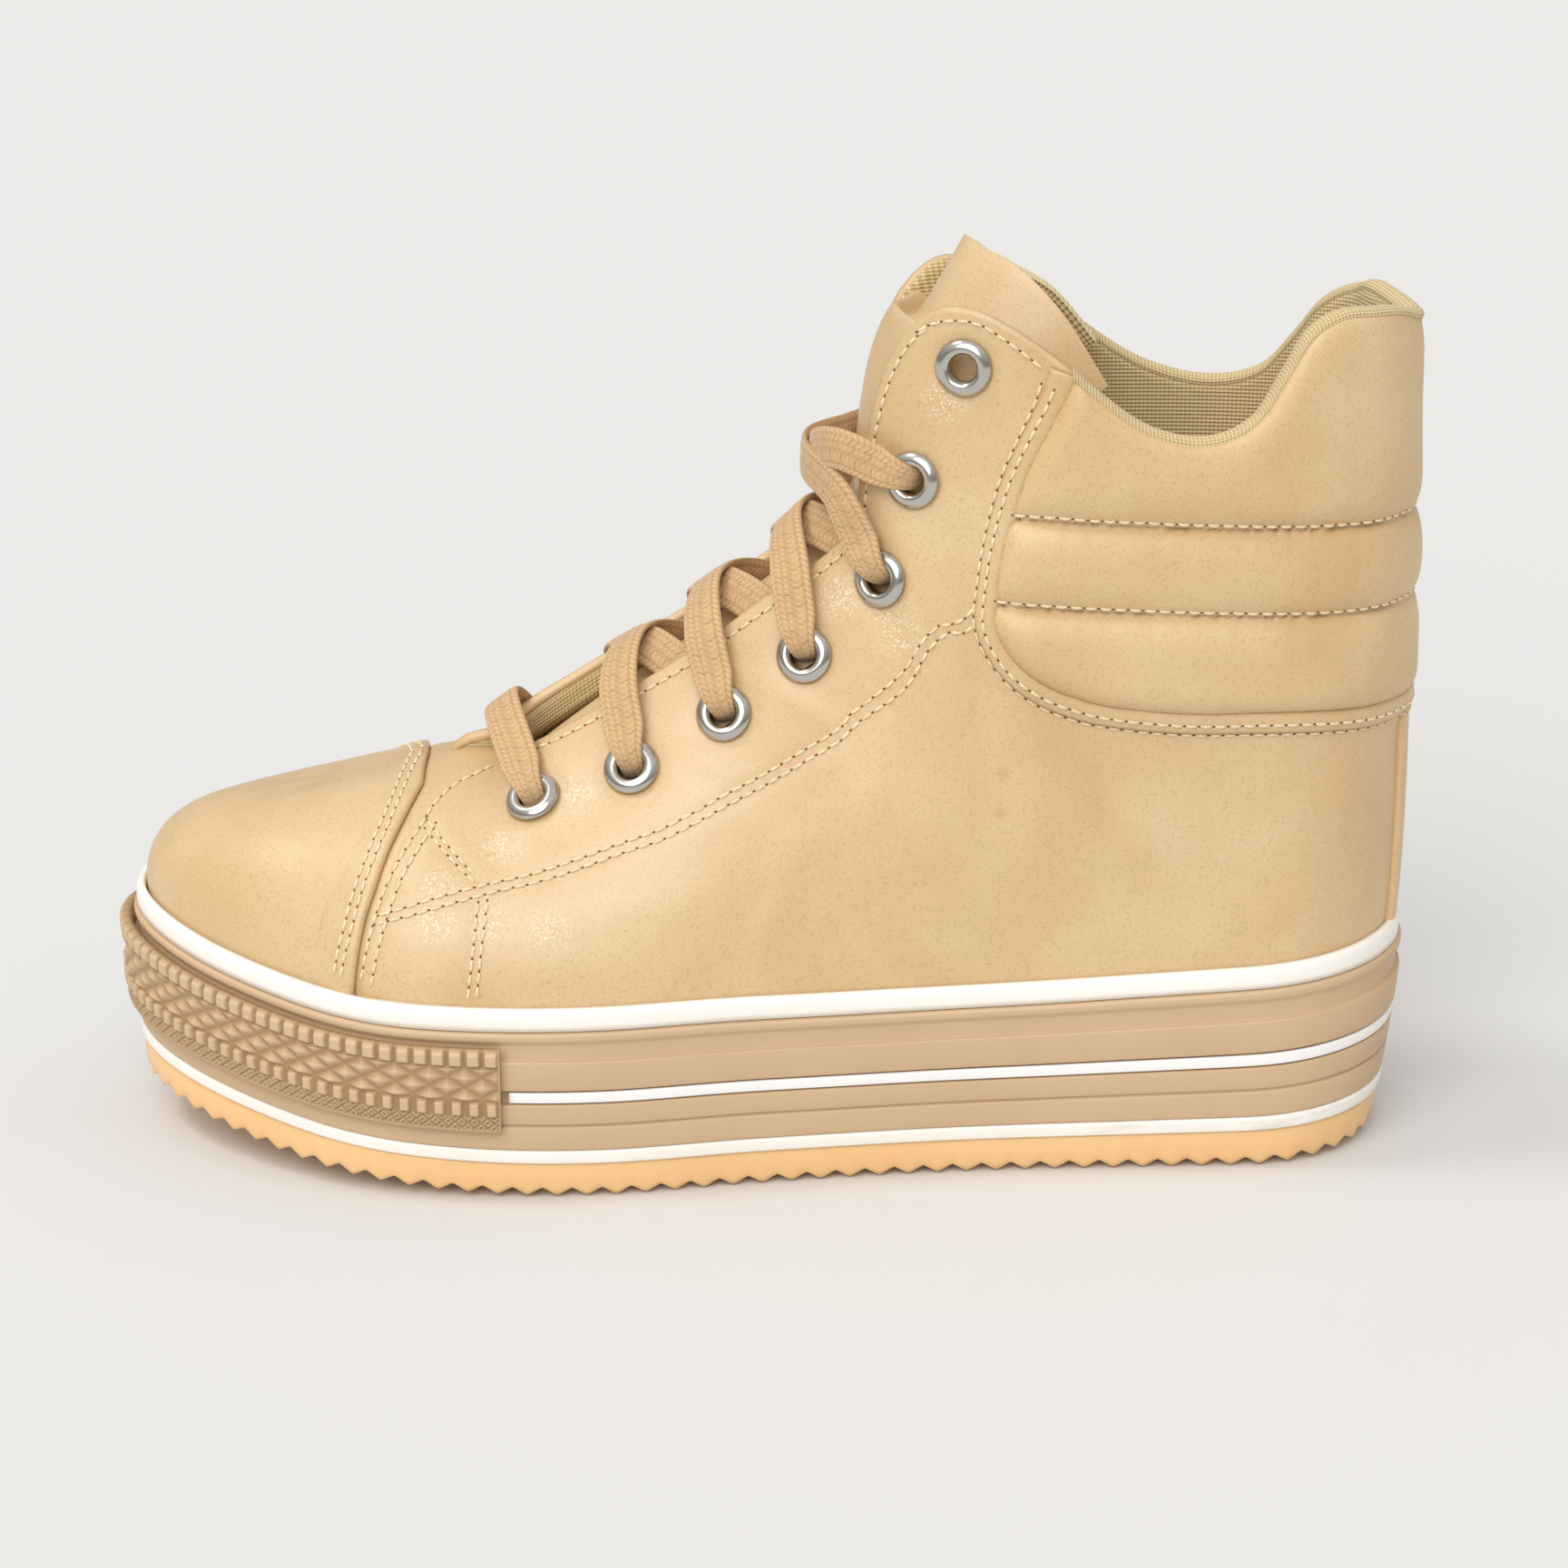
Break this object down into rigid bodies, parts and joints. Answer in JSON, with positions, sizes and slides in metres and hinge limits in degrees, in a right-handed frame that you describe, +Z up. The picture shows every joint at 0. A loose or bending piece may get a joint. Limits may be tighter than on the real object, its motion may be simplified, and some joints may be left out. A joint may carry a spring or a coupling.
{
  "type": "high-top platform sneaker",
  "caption": "Lace-up high-top sneaker with a padded collar, crossed flat laces and a layered platform sole with a toothed tread edge and a textured toe bumper.",
  "frame": {"origin": "on the floor under the middle of the shoe's bounding box, with the shoe standing on its sole", "axes": "+X towards the toe, +Y towards the outer (lateral) side, +Z up"},
  "size_m": [0.2686, 0.1046, 0.188],
  "materials": {
    "tan_leather": "semi-gloss synthetic leather, fine grain",
    "mesh_lining": "open knit mesh",
    "beige_rubber": "matte moulded rubber",
    "white_rubber": "smooth matte white rubber",
    "gum_sole": "slightly clear amber gum rubber",
    "lace_braid": "flat braided lace",
    "nickel": "bright nickel plating"
  },
  "bodies": {
    "root": {"outsole": "gum_sole", "lower_band": "white_rubber", "midsole": "beige_rubber", "side_stripe": "white_rubber", "foxing": "white_rubber", "toe_bumper": "beige_rubber", "upper": "tan_leather", "eyelet_lateral_1": "nickel", "eyelet_lateral_2": "nickel", "eyelet_lateral_3": "nickel", "eyelet_lateral_4": "nickel", "eyelet_lateral_5": "nickel", "eyelet_lateral_6": "nickel", "eyelet_lateral_7": "nickel", "eyelet_medial_1": "nickel", "eyelet_medial_2": "nickel", "eyelet_medial_3": "nickel", "eyelet_medial_4": "nickel", "eyelet_medial_5": "nickel", "eyelet_medial_6": "nickel", "eyelet_medial_7": "nickel", "collar_pad": "tan_leather", "backstay": "tan_leather", "tongue": "tan_leather", "insole": "mesh_lining", "lace_cross_2": "lace_braid", "lace_cross_3": "lace_braid", "lace_cross_4": "lace_braid", "lace_cross_5": "lace_braid", "lace_bar": "lace_braid"}
  },
  "joints": []
}
